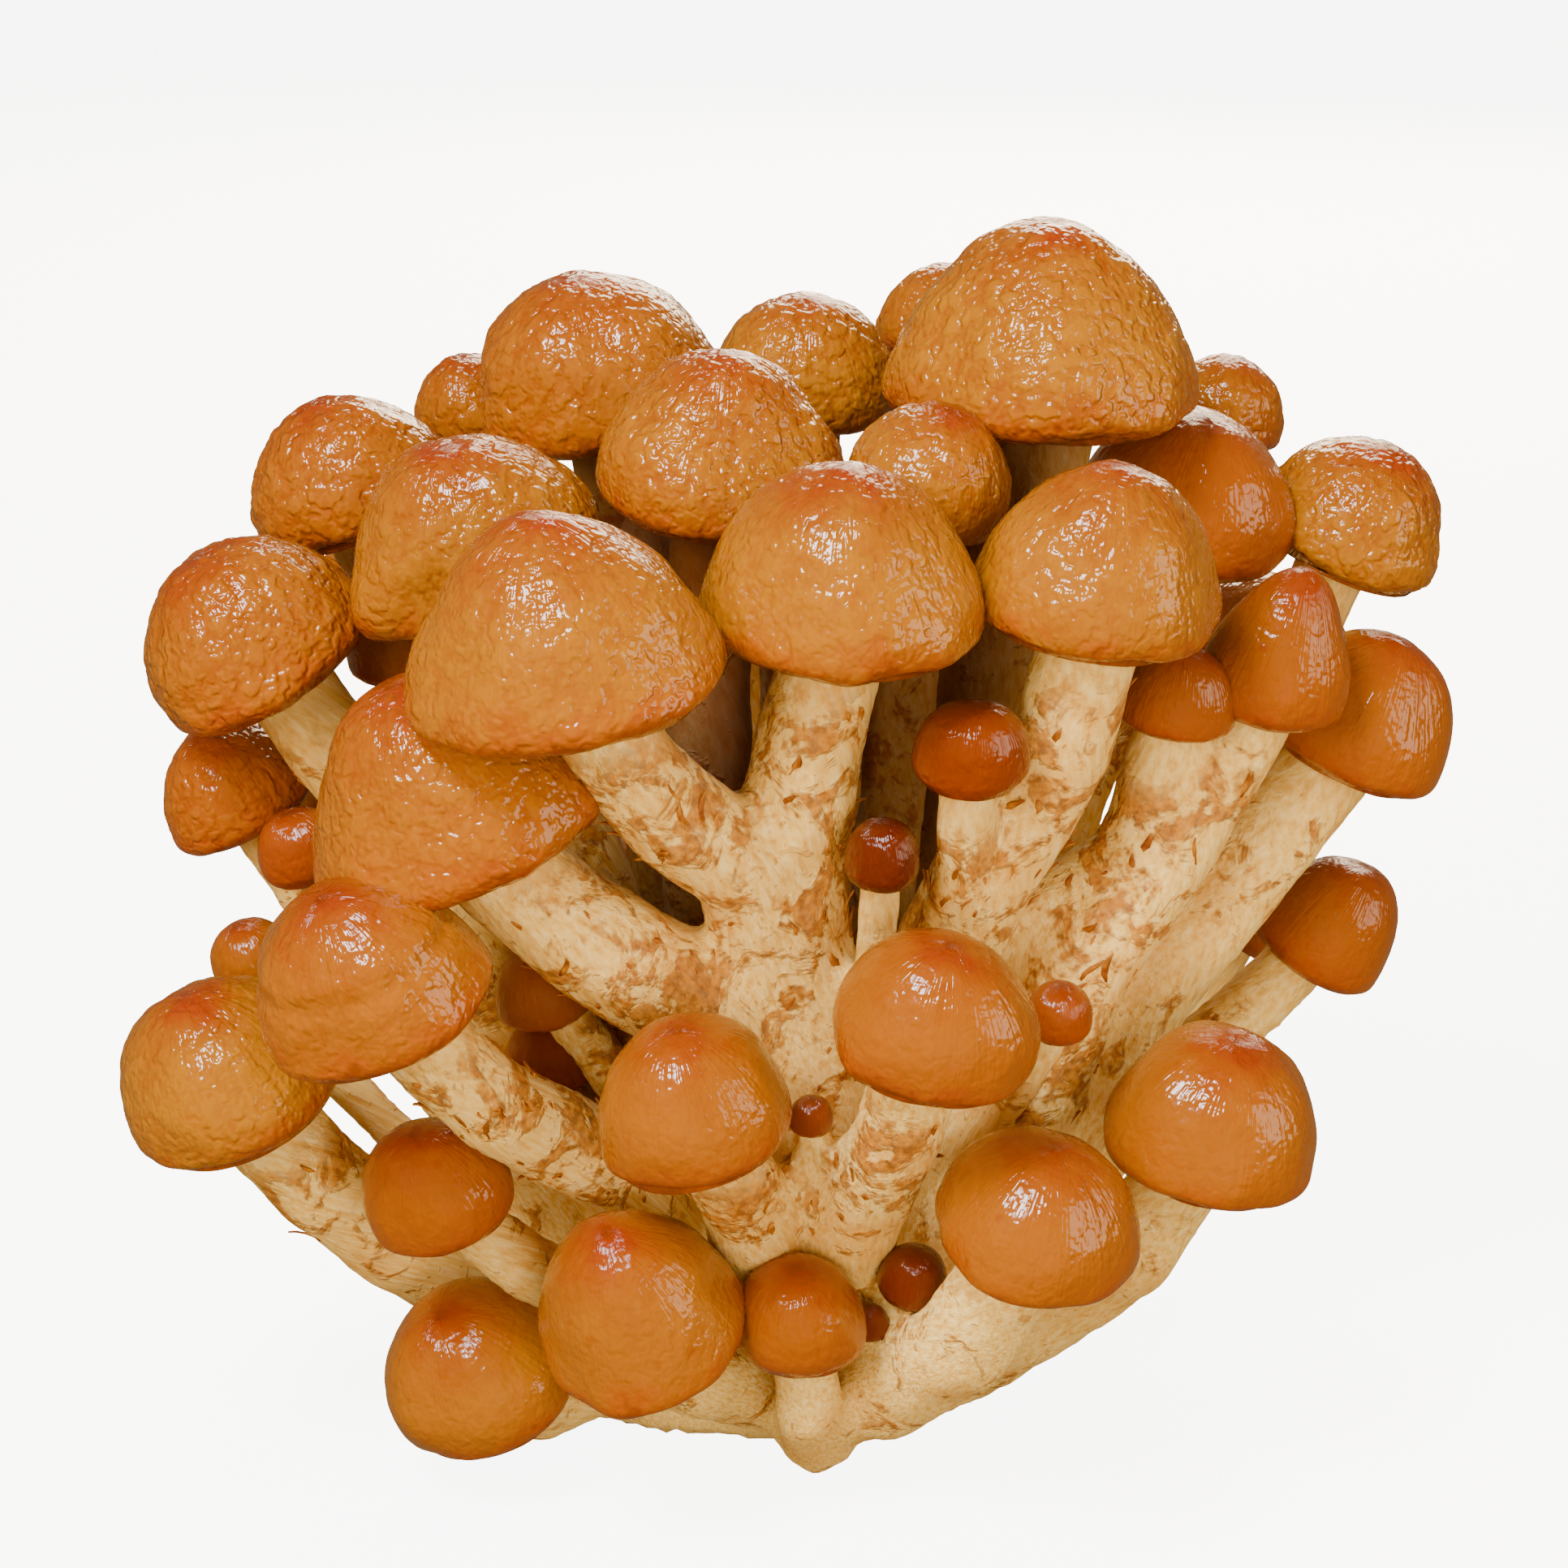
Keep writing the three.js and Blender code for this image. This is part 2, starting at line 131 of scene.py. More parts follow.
softbox("panel_front_left", (-0.38, -0.50, 0.38), 0.42, 5.6, "FFE6BC", mirrored=False)
softbox("panel_front_low", (0.14, -0.66, 0.10), 0.4, 4.05, "FFE8C4", mirrored=False)
softbox("panel_small_left", (-0.22, -0.32, 0.62), 0.2, 6.5, "FFFFFF")
softbox("panel_right", (0.62, -0.25, 0.25), 0.4, 2.8, "FFE8C4")
softbox("panel_behind", (0.12, 0.62, 0.34), 0.4, 7.5, "FFE8C4")

# ---------------------------------------------------------------------------------------------
# Caps. A nameko's cap is a thin viscid skin over soft flesh. It opens from a bud with its rim
# rolled in, the skin crinkles as it grows, and the slime on it keeps it wet and glossy.
# ---------------------------------------------------------------------------------------------
# How burnt each cap's amber is, from 0, fresh gold, to 1, burnt orange, and 2, an unopened pin. This is partly each
# cap's own tone and partly painted shade: caps that sit in shadow, such as cap_right_shaded, are made more burnt.
RIPENESS_AND_SHADE = {
    "cap_crown_big": 0.05, "cap_crown_left": 0.4, "cap_crown_dented": 0.2, "cap_crown_middle": 0.1,
    "cap_crown_tilted": 0.22, "cap_crown_behind": 0.35, "cap_crown_small": 0.45, "cap_right_shaded": 0.75,
    "cap_right_behind": 0.42, "cap_right_outer": 0.12, "cap_front_middle": 0.12, "cap_front_left": 0.15,
    "cap_pin_middle": 1.9, "cap_left_big": 0.32, "cap_front_right": 0.12, "cap_small_front": 1.4,
    "cap_small_right": 0.7, "cap_right_tall": 0.68, "cap_right_low": 0.62, "cap_right_drooping": 0.68,
    "cap_pin_right": 0.95, "cap_foot_right_outer": 0.5, "cap_foot_right": 0.5, "cap_waist_right": 0.55,
    "cap_waist_middle": 0.45, "cap_pin_waist": 1.5, "cap_foot_middle": 0.65, "cap_foot_left": 0.36,
    "cap_pin_foot": 1.8, "cap_pin_foot_tiny": 1.8, "cap_waist_left": 0.42, "cap_left_outer": 0.05,
    "cap_foot_left_small": 0.65, "cap_foot_left_low": 0.32, "cap_waist_left_small": 0.65,
    "cap_shoulder_left": 0.15, "cap_shoulder_left_outer": 0.45, "cap_shoulder_left_behind": 0.42,
    "cap_left_high": 0.38, "cap_left_hidden": 0.45, "cap_left_back": 0.62, "cap_left_pin": 1.0,
    "cap_left_pin_low": 0.6, "cap_left_dark": 1.1,
}
# Caps whose skin dried and crinkled most, as a share of the full wrinkle depth. The rest take 0.22.
WRINKLED = {
    "cap_crown_big": 1.0, "cap_crown_left": 0.9, "cap_crown_dented": 1.0, "cap_crown_middle": 0.9,
    "cap_crown_behind": 0.9, "cap_crown_tilted": 0.8, "cap_shoulder_left": 0.8, "cap_shoulder_left_outer": 1.0,
    "cap_shoulder_left_behind": 1.0, "cap_left_high": 1.0, "cap_left_back": 0.8, "cap_left_big": 0.8,
    "cap_front_left": 0.7, "cap_front_middle": 0.6, "cap_front_right": 0.6, "cap_right_outer": 0.9,
    "cap_waist_left": 0.45, "cap_left_outer": 0.6, "cap_right_behind": 0.8,
}
# Soft dents and bumps: the way that each faces on its cap (turn in degrees, share of the way from
# apex to rim), and its depth and spread in millimetres. A bump has a negative depth.
DENTS = {
    "cap_crown_left": [((-75, 0.42), 0.8, 2.6), ((150, 0.5), -0.5, 4)],
    "cap_crown_dented": [((-80, 0.55), 1.1, 4.5), ((-20, 0.7), -0.5, 4), ((60, 0.3), 0.5, 3)],
    "cap_shoulder_left": [((-110, 0.75), 1.4, 3.2), ((-150, 0.9), -1.2, 3.5), ((-40, 0.6), -0.6, 4)],
    "cap_crown_big": [((-60, 0.6), 0.6, 5), ((-140, 0.7), 0.7, 4.5), ((-100, 0.85), -0.6, 5)],
    "cap_front_left": [((-140, 0.6), 0.7, 5), ((-60, 0.75), 0.5, 5)],
    "cap_front_middle": [((-130, 0.7), 0.5, 4.5), ((-50, 0.6), 0.5, 4)],
    "cap_front_right": [((-60, 0.8), -0.5, 4), ((-120, 0.55), 0.4, 4)],
    "cap_left_big": [((-100, 0.7), 0.7, 5), ((-30, 0.8), -0.4, 4)],
    "cap_left_high": [((-70, 0.7), 0.7, 4), ((180, 0.7), -0.4, 4)],
    "cap_right_low": [((-60, 0.5), 0.6, 4)],
    "cap_right_tall": [((-90, 0.8), -0.5, 3)],
    "cap_small_front": [((-100, 0.8), 0.4, 2)],
    "cap_waist_left": [((-100, 0.8), 0.5, 4)],
}
WRINKLE_DEPTH = 0.24
WRINKLE_LENGTH = 1.8
LUMP_DEPTH = 0.6
LUMP_LENGTH = 9.0
rng = random.Random(7)


def welded_copy(node):
    """A CAD node's mesh as a bmesh with its loose triangles joined at their corners."""
    form = bmesh.new()
    form.from_mesh(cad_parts[node].data)
    bmesh.ops.remove_doubles(form, verts=form.verts, dist=1e-6)
    return form


def rings_about(points, low, high):
    """Which of the points lie on rings about the line from low to high, with height and radius."""
    up = (high - low) / np.linalg.norm(high - low)
    height = (points - low) @ up
    radius = np.linalg.norm(points - low - height[:, None] * up, axis=1)
    alike = (abs(height[:, None] - height) < 0.13 * MM) & (abs(radius[:, None] - radius) < 0.3 * MM)
    return alike & (alike.sum(axis=1) >= 5)[:, None], height / MM, radius / MM


def measured(node):
    """A cap's underside middle, the way that it faces, and its outline from the rings of its solid.

    The two ends of the axis are the crowded corners that put most of the others on rings.
    """
    form = welded_copy(node)
    crowd = sorted(form.verts, key=lambda v: -len(v.link_faces))[:9]
    ends = [np.array(v.co) for v in crowd]
    points = np.array([v.co for v in form.verts])
    form.free()
    pairs = [(p, q) for i, p in enumerate(ends) for q in ends[:i] if np.linalg.norm(p - q) > 2 * MM]
    low, high = max(pairs, key=lambda pair: rings_about(points, *pair)[0].any(axis=1).sum())
    alike, height, radius = rings_about(points, low, high)
    if height[np.argmax(np.where(alike.any(axis=1), radius, 0))] > 0.5 * np.linalg.norm(high - low) / MM:
        low, high = high, low
        alike, height, radius = rings_about(points, low, high)
    shape = {tuple(np.flatnonzero(row)): (height[row].mean(), radius[row].mean()) for row in alike if row.any()}
    merged = []
    for h, r in sorted(shape.values()):
        if not merged or h - merged[-1][0] > 0.25 or abs(r - merged[-1][1]) > 0.8:
            merged.append((h, r))
    return Vector(low), Vector(high - low).normalized(), merged, np.linalg.norm(high - low) / MM


def smooth_line(points, steps):
    """Points on a smooth curve through the given ones, with steps between each two."""
    line = []
    for i in range(1, len(points) - 2):
        p0, p1, p2, p3 = (np.array(points[j]) for j in (i - 1, i, i + 1, i + 2))
        for k in range(steps):
            t = k / steps
            line.append(0.5 * (2 * p1 + (p2 - p0) * t + (2 * p0 - 5 * p1 + 4 * p2 - p3) * t * t
                               + (3 * p1 - p0 - 3 * p2 + p3) * t ** 3))
    line.append(np.array(points[-2]))
    return line


def piece_from(name, form, material):
    """Makes a bmesh a smooth-shaded object of the cluster, with its material, under the root body."""
    mesh = bpy.data.meshes.new(name)
    form.to_mesh(mesh)
    form.free()
    mesh.shade_smooth()
    mesh.materials.append(material)
    made = bpy.data.objects.new(name, mesh)
    scene.collection.objects.link(made)
    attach(made, "root")
    return made


def attribute(mesh, name, kind, values):
    """Stores one value or vector for each vertex, for a material to read."""
    made = mesh.attributes.new(name, kind, "POINT")
    made.data.foreach_set("value" if kind == "FLOAT" else "vector", np.asarray(values, np.float32).ravel())


def ramp(tree, fac, stops):
    """A colour ramp node with (place, hex colour) stops."""
    node = add(tree, "ShaderNodeValToRGB", Fac=fac)
    marks = node.color_ramp.elements
    while len(marks) < len(stops):
        marks.new(0.5)
    for mark, (spot, code) in zip(marks, stops):
        mark.position = spot
        mark.color = linear(code)
    return node


# Viscid mushroom skin: amber gel over orange flesh. The gel gives a sharp wet gloss that the
# crinkles break into flecks. It is reddest on the crown and at the rim, and golden in between.
skin = bpy.data.materials.new("viscid_cap_skin")
skin.use_nodes = True
tree = skin.node_tree
gloss = tree.nodes["Principled BSDF"]
along = add(tree, "ShaderNodeAttribute", {"attribute_name": "meridian"})
ripe_and_shade = add(tree, "ShaderNodeAttribute", {"attribute_name": "ripeness_and_shade"})
under = add(tree, "ShaderNodeAttribute", {"attribute_name": "gilled"})
crinkle = add(tree, "ShaderNodeAttribute", {"attribute_name": "crinkled"})
crease = add(tree, "ShaderNodeAttribute", {"attribute_name": "crease"})
place = add(tree, "ShaderNodeTexCoord").outputs["Object"]
ray = add(tree, "ShaderNodeSeparateXYZ", Vector=along.outputs["Vector"])
mottle = add(tree, "ShaderNodeTexNoise", Vector=place, Scale=1 / (4.5 * MM), Detail=3.0, Roughness=0.65)
reach = add(tree, "ShaderNodeMath", {"operation": "MULTIPLY_ADD"}, i0=mottle.outputs["Fac"], i1=0.6,
            i2=ray.outputs["Z"])
reach_mid = add(tree, "ShaderNodeMath", {"operation": "SUBTRACT"}, i0=reach.outputs[0], i1=0.3)
fresh = ramp(tree, reach_mid.outputs[0], [(0.05, "882F01"), (0.3, "915501"), (0.55, "9E6601"), (0.82, "9B6201"),
                                          (0.95, "995001"), (1.0, "844401")])
burnt = ramp(tree, reach_mid.outputs[0], [(0.05, "7E2E01"), (0.3, "8A3C01"), (0.55, "873A01"), (0.82, "964101"),
                                          (0.95, "984001"), (1.0, "833601")])
# Caps that sit in shadow take more of the burnt ramp: this is partly their own tone and partly painted shade.
amber = add(tree, "ShaderNodeMix", {"data_type": "RGBA"}, i0=ripe_and_shade.outputs["Fac"], i6=fresh.outputs["Color"],
            i7=burnt.outputs["Color"])
# Pins that never opened are the darkest, a deep red-brown.
unopened = add(tree, "ShaderNodeMapRange", i0=ripe_and_shade.outputs["Fac"], i1=1.0, i2=2.0, i3=0.0, i4=1.0)
amber = add(tree, "ShaderNodeMix", {"data_type": "RGBA"}, i0=unopened.outputs[0], i6=amber.outputs[2],
            i7=linear("4A1201"))
# Reddish freckles 0.5 to 1 mm across, where the gel dried, and painted shade of the same dark red in the crinkle
# valleys.
freckle = add(tree, "ShaderNodeTexVoronoi", {"feature": "F1"}, Vector=place, Scale=1 / (2.8 * MM), Randomness=1.0)
freckle_mark = add(tree, "ShaderNodeMapRange", i0=freckle.outputs["Distance"], i1=0.08, i2=0.24, i3=0.4, i4=0.0)
patchy = add(tree, "ShaderNodeMapRange", i0=mottle.outputs["Fac"], i1=0.46, i2=0.62, i3=0.0, i4=1.0)
freckled = add(tree, "ShaderNodeMath", {"operation": "MULTIPLY"}, i0=freckle_mark.outputs[0],
               i1=patchy.outputs[0])
# Fine crinkles: puffs about 2 mm across with thin folds between them, which are darkened as painted shade.
folds = add(tree, "ShaderNodeTexNoise", Vector=place, Scale=1 / (2.4 * MM), Detail=2.0, Roughness=0.6)
fold_side = add(tree, "ShaderNodeMath", {"operation": "SUBTRACT"}, i0=folds.outputs["Fac"], i1=0.5)
fold_away = add(tree, "ShaderNodeMath", {"operation": "ABSOLUTE"}, i0=fold_side.outputs[0])
puff = add(tree, "ShaderNodeMapRange", {"interpolation_type": "SMOOTHSTEP"}, i0=fold_away.outputs[0], i1=0.0,
           i2=0.13, i3=0.0, i4=1.0)
fold_line = add(tree, "ShaderNodeMapRange", i0=puff.outputs[0], i1=0.0, i2=0.6, i3=0.24, i4=0.0)
# Painted shade: the folds between the puffs, and the deepest creases, are darkened to red-brown.
fold_painted_shade = add(tree, "ShaderNodeMath", {"operation": "MULTIPLY_ADD"}, i0=crease.outputs["Fac"], i1=0.3,
             i2=fold_line.outputs[0])
fold_painted_shade_by = add(tree, "ShaderNodeMath", {"operation": "MULTIPLY"}, i0=fold_painted_shade.outputs[0], i1=crinkle.outputs["Fac"])
freckles_and_fold_shade = add(tree, "ShaderNodeMath", {"operation": "MAXIMUM"}, i0=freckled.outputs[0], i1=fold_painted_shade_by.outputs[0])
# The freckles are the skin's own colour; the darkening along the folds is painted shade.
toned = add(tree, "ShaderNodeMix", {"data_type": "RGBA"}, i0=freckles_and_fold_shade.outputs[0], i6=amber.outputs[2],
            i7=linear("7A2400"))
# Orange-peel pebbling 0.9 mm apart, and streaks that run to the rim.
pebble = add(tree, "ShaderNodeTexNoise", Vector=place, Scale=1 / (0.9 * MM), Detail=1.0, Roughness=0.6)
streak_at = add(tree, "ShaderNodeVectorMath", {"operation": "MULTIPLY"}, i0=along.outputs["Vector"], i1=(22, 22, 2))
streaks = add(tree, "ShaderNodeTexNoise", Vector=streak_at.outputs[0], Scale=1.0, Detail=1.0)
fold_height = add(tree, "ShaderNodeMath", {"operation": "MULTIPLY"}, i0=puff.outputs[0],
                  i1=crinkle.outputs["Fac"])
fold_soft = add(tree, "ShaderNodeMath", {"operation": "MULTIPLY"}, i0=fold_height.outputs[0], i1=0.5)
skin_height = add(tree, "ShaderNodeMath", {"operation": "MULTIPLY_ADD"}, i0=pebble.outputs["Fac"], i1=0.5,
                  i2=fold_soft.outputs[0])
streak_by = add(tree, "ShaderNodeMath", {"operation": "MULTIPLY_ADD"}, i0=under.outputs["Fac"], i1=2.0, i2=0.25)
streak_height = add(tree, "ShaderNodeMath", {"operation": "MULTIPLY"}, i0=streaks.outputs["Fac"],
                    i1=streak_by.outputs[0])
all_height = add(tree, "ShaderNodeMath", {"operation": "ADD"}, i0=skin_height.outputs[0],
                 i1=streak_height.outputs[0])
skin_bump = add(tree, "ShaderNodeBump", Height=all_height.outputs[0], Strength=1.0, Distance=0.3 * MM)
# Gills: pale tan blades under the cap, dry and matt.
gill_tone = ramp(tree, streaks.outputs["Fac"], [(0.35, "A8763A"), (0.6, "D2A468")])
coloured = add(tree, "ShaderNodeMix", {"data_type": "RGBA"}, i0=under.outputs["Fac"], i6=toned.outputs[2],
               i7=gill_tone.outputs["Color"])
wet = add(tree, "ShaderNodeMath", {"operation": "SUBTRACT"}, i0=0.9, i1=under.outputs["Fac"])
tree.links.new(coloured.outputs[2], gloss.inputs["Base Color"])
tree.links.new(skin_bump.outputs["Normal"], gloss.inputs["Normal"])
tree.links.new(skin_bump.outputs["Normal"], gloss.inputs["Coat Normal"])
tree.links.new(wet.outputs[0], gloss.inputs["Coat Weight"])
gloss.inputs["Roughness"].default_value = 0.45
gloss.inputs["Coat Roughness"].default_value = 0.1
gloss.inputs["Coat IOR"].default_value = 1.5
gloss.inputs["IOR"].default_value = 1.4
gloss.inputs["Specular IOR Level"].default_value = 0.05
gloss.inputs["Subsurface Weight"].default_value = 0.05
gloss.inputs["Subsurface Radius"].default_value = (1.0, 0.3, 0.05)
gloss.inputs["Subsurface Scale"].default_value = 1.2 * MM

seats = {}
for name in sorted(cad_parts):
    if not name.startswith("cap_"):
        continue
    seat, up, shape, height = measured(name)
    radius = max(r for _, r in shape)
    seats[name] = (seat, up, radius)
    fine = 3 if radius > 8.5 else 2 if radius > 5.5 else 1
    around = (0, 44, 88, 150)[fine]
    rows = (0, 3, 5, 7)[fine]
    rim_h, rim_r = shape[0] if shape[0][0] < -0.05 else shape[1]
    flank = [(r, h) for h, r in shape if h > rim_h + 0.01 and h < height - 0.01]
    outline = [(-0.2 * radius, 0.0), (0.0, 0.0), (0.45 * radius, 0.0), (0.74 * radius, 0.05 * height),
               (rim_r * 0.97, rim_h * 0.9), *[(rim_r * 1.06, rim_h * 0.55)], *flank, (0.0, height),
               (-flank[-1][0], flank[-1][1])]
    line = smooth_line(outline, rows)
    form = bmesh.new()
    ring = [form.verts.new((max(p[0], 0.0) * MM, 0, p[1] * MM)) for p in line]
    edges = [form.edges.new(pair) for pair in zip(ring, ring[1:])]
    bmesh.ops.spin(form, geom=ring + edges, cent=(0, 0, 0), axis=(0, 0, 1), dvec=(0, 0, 0), angle=2 * math.pi,
                   steps=around, use_merge=True)
    bmesh.ops.remove_doubles(form, verts=form.verts, dist=1e-7)
    bmesh.ops.recalc_face_normals(form, faces=form.faces)
    form.normal_update()
    lengths = np.concatenate([[0], np.cumsum([np.linalg.norm(q - p) for p, q in zip(line, line[1:])])])
    rim_at = 4 * rows
    total = lengths[-1] - lengths[rim_at]
    phase = (seat.x + seat.z) / MM
    depth = WRINKLED.get(name, 0.22) * WRINKLE_DEPTH
    turn_up = Vector((0, 0, 1)).rotation_difference(up)
    seed = Vector((rng.uniform(-90, 90), rng.uniform(-90, 90), rng.uniform(-90, 90)))
    meridian, gilled, creases, moved = [], [], [], []
    profile_r = np.array([p[0] for p in line])
    profile_h = np.array([p[1] for p in line])
    for v in form.verts:
        r = math.hypot(v.co.x, v.co.y) / MM
        h = v.co.z / MM
        row = int(np.argmin((profile_r - r) ** 2 + (profile_h - h) ** 2))
        share = 1.0 - (lengths[row] - lengths[rim_at]) / total
        turn = math.atan2(v.co.y, v.co.x)
        swell = 1 + 0.03 * math.cos(2 * turn + phase) + 0.018 * math.cos(3 * turn + 2 * phase)
        below = row < rim_at
        spot = v.co / MM
        lump = noise.noise(spot / LUMP_LENGTH + seed) + 0.5 * noise.noise(spot / (0.5 * LUMP_LENGTH) + seed)
        lump *= LUMP_DEPTH * min(1.0, radius / 12)
        folded = noise.ridged_multi_fractal(spot / WRINKLE_LENGTH + seed, 0.9, 2.1, 2, 0.9, 2.0)
        creases.append(folded)
        skin_move = 0.0 if below else lump + depth * (1.2 - folded) * min(1.0, 3 * (1 - share) + 0.35)
        for (way, out_by), deep, spread in DENTS.get(name, ()):
            if not below:
                gap = (turn - math.radians(way) + math.pi) % (2 * math.pi) - math.pi
                away = math.hypot(gap * r, (share - out_by) * total)
                skin_move -= deep * math.exp(-(away / spread) ** 2)
        rim_wave = 0.35 * noise.noise(Vector((math.cos(turn), math.sin(turn), 0)) * 2.2 + seed) * radius / 10
        if share > 0.75 and not below:
            skin_move += rim_wave * (share - 0.75) / 0.25
        co = v.co + v.normal * skin_move * MM
        co.x *= swell
        co.y *= swell
        if below:
            co.z += rim_wave * MM * (row / rim_at) ** 2 * 0.6
        moved.append(turn_up @ co + seat)
        meridian.append((math.cos(turn), math.sin(turn), min(max(share, 0.0), 1.0)))
        gilled.append(1.0 if row < rim_at - rows * 0.5 else 0.0)
    for v, co in zip(form.verts, moved):
        v.co = co
    cap = piece_from(name + "_skin", form, skin)
    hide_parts(name)
    count = len(cap.data.vertices)
    attribute(cap.data, "meridian", "FLOAT_VECTOR", meridian)
    attribute(cap.data, "gilled", "FLOAT", gilled)
    half, most = np.percentile(creases, (50, 96))
    attribute(cap.data, "crease", "FLOAT", np.clip((np.array(creases) - half) / (most - half), 0, 1))
    attribute(cap.data, "ripeness_and_shade", "FLOAT", [RIPENESS_AND_SHADE.get(name, rng.uniform(0.2, 0.6))] * count)
    attribute(cap.data, "crinkled", "FLOAT", [WRINKLED.get(name, 0.22)] * count)


# ---------------------------------------------------------------------------------------------
# Stems and butt. Cream fibrous flesh, grown together at the foot. The big stems carry ochre
# scales and torn fibres left by the veil, and a smooth pale band under each cap.
# ---------------------------------------------------------------------------------------------
STEM_GRID = 0.98
STEM_SMOOTHING = 9
STEM_FILL = 0.3
HEART = Vector((0, 0, -0.012))

# Fibrous stem flesh: cream with tan patches and ochre scales. Deep between the stems, near the middle of the cluster, a
# dark red-brown is laid over it as painted shade.
flesh = bpy.data.materials.new("fibrous_stem_flesh")
flesh.use_nodes = True
tree = flesh.node_tree
matte = tree.nodes["Principled BSDF"]
place = add(tree, "ShaderNodeTexCoord").outputs["Object"]
near_cap = add(tree, "ShaderNodeAttribute", {"attribute_name": "neck"})
painted_shade_between_stems = add(tree, "ShaderNodeAttribute", {"attribute_name": "painted_shade_between_stems"})
scaly = add(tree, "ShaderNodeAttribute", {"attribute_name": "scaly"})
# Fibres run up the stems, which all fan out of the heart of the butt.
from_heart = add(tree, "ShaderNodeVectorMath", {"operation": "SUBTRACT"}, i0=place, i1=tuple(HEART))
bearing = add(tree, "ShaderNodeVectorMath", {"operation": "NORMALIZE"}, i0=from_heart.outputs[0])
distance = add(tree, "ShaderNodeVectorMath", {"operation": "LENGTH"}, i0=from_heart.outputs[0])
bearing_wide = add(tree, "ShaderNodeVectorMath", {"operation": "SCALE"}, i0=bearing.outputs[0], Scale=70.0)
distance_wide = add(tree, "ShaderNodeMath", {"operation": "MULTIPLY"}, i0=distance.outputs["Value"], i1=180.0)
fibre_at = add(tree, "ShaderNodeVectorMath", {"operation": "ADD"}, i0=bearing_wide.outputs[0],
               i1=distance_wide.outputs[0])
fibres = add(tree, "ShaderNodeTexNoise", Vector=fibre_at.outputs[0], Scale=1.6, Detail=4.0, Roughness=0.6)
broad = add(tree, "ShaderNodeTexNoise", Vector=place, Scale=1 / (9 * MM), Detail=3.0)
cream = ramp(tree, fibres.outputs["Fac"], [(0.3, "D8A448"), (0.5, "F0CC74"), (0.7, "F8E29C")])
tan_mark = add(tree, "ShaderNodeMapRange", i0=broad.outputs["Fac"], i1=0.5, i2=0.75, i3=0.0, i4=0.55)
warmed = add(tree, "ShaderNodeMix", {"data_type": "RGBA"}, i0=tan_mark.outputs[0], i6=cream.outputs["Color"],
             i7=linear("D8983A"))
# Ochre scales: torn patches 3 to 6 mm long, broken up finely, none on the smooth neck.
patch = add(tree, "ShaderNodeTexNoise", Vector=place, Scale=1 / (5.5 * MM), Detail=4.0, Roughness=0.68,
            Distortion=0.9)
torn = add(tree, "ShaderNodeTexVoronoi", {"feature": "DISTANCE_TO_EDGE"}, Vector=place, Scale=1 / (1.5 * MM))
torn_in = add(tree, "ShaderNodeMath", {"operation": "MULTIPLY_ADD"}, i0=torn.outputs["Distance"], i1=-0.22,
              i2=patch.outputs["Fac"])
scale_by = add(tree, "ShaderNodeMath", {"operation": "MULTIPLY_ADD"}, i0=scaly.outputs["Fac"], i1=0.1,
               i2=torn_in.outputs[0])
patch_mark = add(tree, "ShaderNodeMapRange", i0=scale_by.outputs[0], i1=0.56, i2=0.65, i3=0.0, i4=0.85)
speck = add(tree, "ShaderNodeTexNoise", Vector=place, Scale=1 / (0.8 * MM), Detail=2.0)
speck_mark = add(tree, "ShaderNodeMapRange", i0=speck.outputs["Fac"], i1=0.67, i2=0.75, i3=0.0, i4=0.6)
marks = add(tree, "ShaderNodeMath", {"operation": "MAXIMUM"}, i0=patch_mark.outputs[0], i1=speck_mark.outputs[0])
bare_neck = add(tree, "ShaderNodeMath", {"operation": "SUBTRACT"}, i0=1.0, i1=near_cap.outputs["Fac"])
marks_low = add(tree, "ShaderNodeMath", {"operation": "MULTIPLY"}, i0=marks.outputs[0], i1=bare_neck.outputs[0])
ochre = ramp(tree, speck.outputs["Fac"], [(0.35, "7E3E04"), (0.5, "AC660C"), (0.68, "CC8A22")])
scaled = add(tree, "ShaderNodeMix", {"data_type": "RGBA"}, i0=marks_low.outputs[0], i6=warmed.outputs[2],
             i7=ochre.outputs["Color"])
# Painted shade: the dark red-brown that darkens the stems deep inside the cluster.
deep = add(tree, "ShaderNodeMix", {"data_type": "RGBA"}, i0=painted_shade_between_stems.outputs["Fac"], i6=scaled.outputs[2],
           i7=linear("5A220A"))
tree.links.new(deep.outputs[2], matte.inputs["Base Color"])
rise = add(tree, "ShaderNodeMath", {"operation": "MULTIPLY_ADD"}, i0=marks_low.outputs[0], i1=0.8,
           i2=fibres.outputs["Fac"])
flesh_bump = add(tree, "ShaderNodeBump", Height=rise.outputs[0], Strength=0.7, Distance=0.4 * MM)
tree.links.new(flesh_bump.outputs["Normal"], matte.inputs["Normal"])
matte.inputs["Roughness"].default_value = 0.58
matte.inputs["IOR"].default_value = 1.4
matte.inputs["Subsurface Weight"].default_value = 0.1
matte.inputs["Subsurface Radius"].default_value = (1.0, 0.62, 0.3)
matte.inputs["Subsurface Scale"].default_value = 1.2 * MM

